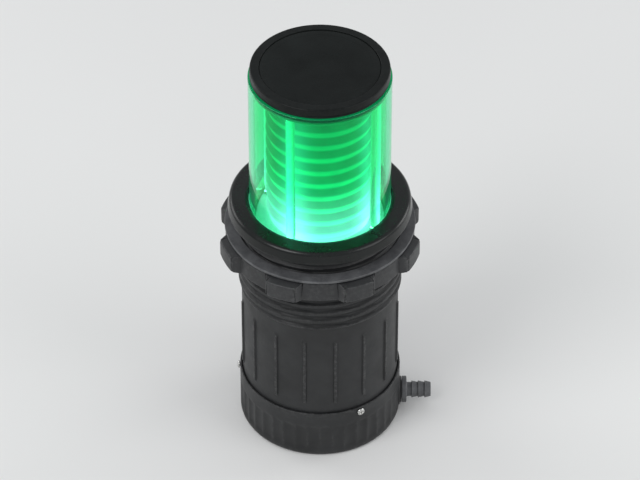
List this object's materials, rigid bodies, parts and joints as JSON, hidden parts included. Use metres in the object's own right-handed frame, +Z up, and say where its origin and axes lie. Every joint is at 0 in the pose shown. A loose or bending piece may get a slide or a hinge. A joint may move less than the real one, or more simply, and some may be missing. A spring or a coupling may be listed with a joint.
{
  "type": "pop-up pool light",
  "caption": "Deck-mounted pool and spa light: a clear lit column with a black cap that rises from a flanged, threaded sleeve.",
  "frame": {"origin": "on the column's axis at the face of the deck the flange sits on, with the column raised", "axes": "+Z up along the column; +X towards the drain; +Y towards the cable gland"},
  "size_m": [0.1281, 0.1275, 0.263],
  "materials": {
    "black_plastic": "satin, UV-stable ABS",
    "pad_plastic": "smooth, slightly glossier than the cap",
    "clear_plastic": "clear polished acrylic",
    "lit_plastic": "clear acrylic, lit green from below",
    "white_plastic": "white moulded plastic",
    "white_board": "white solder mask on aluminium",
    "led_package": "lit diode package",
    "sleeve_plastic": "fine-textured ABS",
    "grey_plastic": "moulded nylon",
    "rubber": "matt EPDM",
    "lead_rubber": "matt jacket",
    "steel": "A4 stainless",
    "brass": "turned",
    "green_board": "green solder mask",
    "chip_black": "moulded epoxy",
    "ferrite": "sintered ferrite",
    "aluminium": "drawn can"
  },
  "bodies": {
    "housing": {"housing_sleeve": "sleeve_plastic", "trim_ring": "black_plastic", "guide_bush": "white_plastic", "wiper_seal": "rubber", "deck_gasket": "rubber", "bottom_cup": "sleeve_plastic", "cup_o_ring": "rubber", "cup_screw_1": "steel", "cup_screw_2": "steel", "cup_screw_3": "steel", "gland_body": "grey_plastic", "gland_washer": "rubber", "gland_nut": "grey_plastic", "gland_bush": "rubber", "drain_barb": "grey_plastic", "drain_washer": "rubber", "latch_bracket": "steel", "latch_pin": "steel", "lift_spring": "steel", "coiled_lead": "lead_rubber"},
    "column": {"top_cap": "black_plastic", "cap_collar": "white_plastic", "press_pad": "pad_plastic", "cap_o_ring": "rubber", "cap_insert": "brass", "lens_tube": "clear_plastic", "light_guide_1": "lit_plastic", "light_guide_2": "lit_plastic", "light_guide_3": "lit_plastic", "light_guide_4": "lit_plastic", "reflector_core": "white_plastic", "led_board": "white_board", "led_1": "led_package", "led_2": "led_package", "led_3": "led_package", "led_4": "led_package", "carrier": "sleeve_plastic", "tube_seal": "rubber", "stop_buffer": "rubber", "driver_board": "green_board", "driver_chip": "chip_black", "lead_connector": "white_plastic", "driver_choke": "ferrite", "driver_capacitor": "aluminium", "tie_bolt": "steel", "tie_washer": "steel", "heart_cam": "white_plastic", "cam_screw_1": "steel", "cam_screw_2": "steel"},
    "washer": {"slip_washer": "grey_plastic"},
    "nut": {"mounting_nut": "sleeve_plastic"},
    "hook": {"latch_hook": "steel"}
  },
  "joints": [
    {"name": "pop_up", "type": "slide", "parent": "housing", "child": "column", "axis": [0, 0, 1], "range_m": [-0.096, 0], "stiffness_N_per_m": 95, "springref_m": 0.105, "deforming": ["lift_spring", "coiled_lead"]},
    {"name": "nut_turn", "type": "hinge", "parent": "washer", "child": "nut", "pos_m": [0, 0, -0.02], "axis": [0, 0, 1], "range_deg": [-1560, 0]},
    {"name": "nut_travel", "type": "slide", "parent": "housing", "child": "washer", "axis": [0, 0, 1], "range_m": [-0.0262, 0]},
    {"name": "latch_swing", "type": "hinge", "parent": "housing", "child": "hook", "pos_m": [0.0202, 0, -0.149], "axis": [-1, 0, 0], "range_deg": [0, 14], "stiffness_Nm_per_rad": 0.002, "springref_deg": -20.05}
  ],
  "couplings": [
    {"joint": "nut_travel", "follows": "nut_turn", "m_per_rad": 0.00095493}
  ]
}
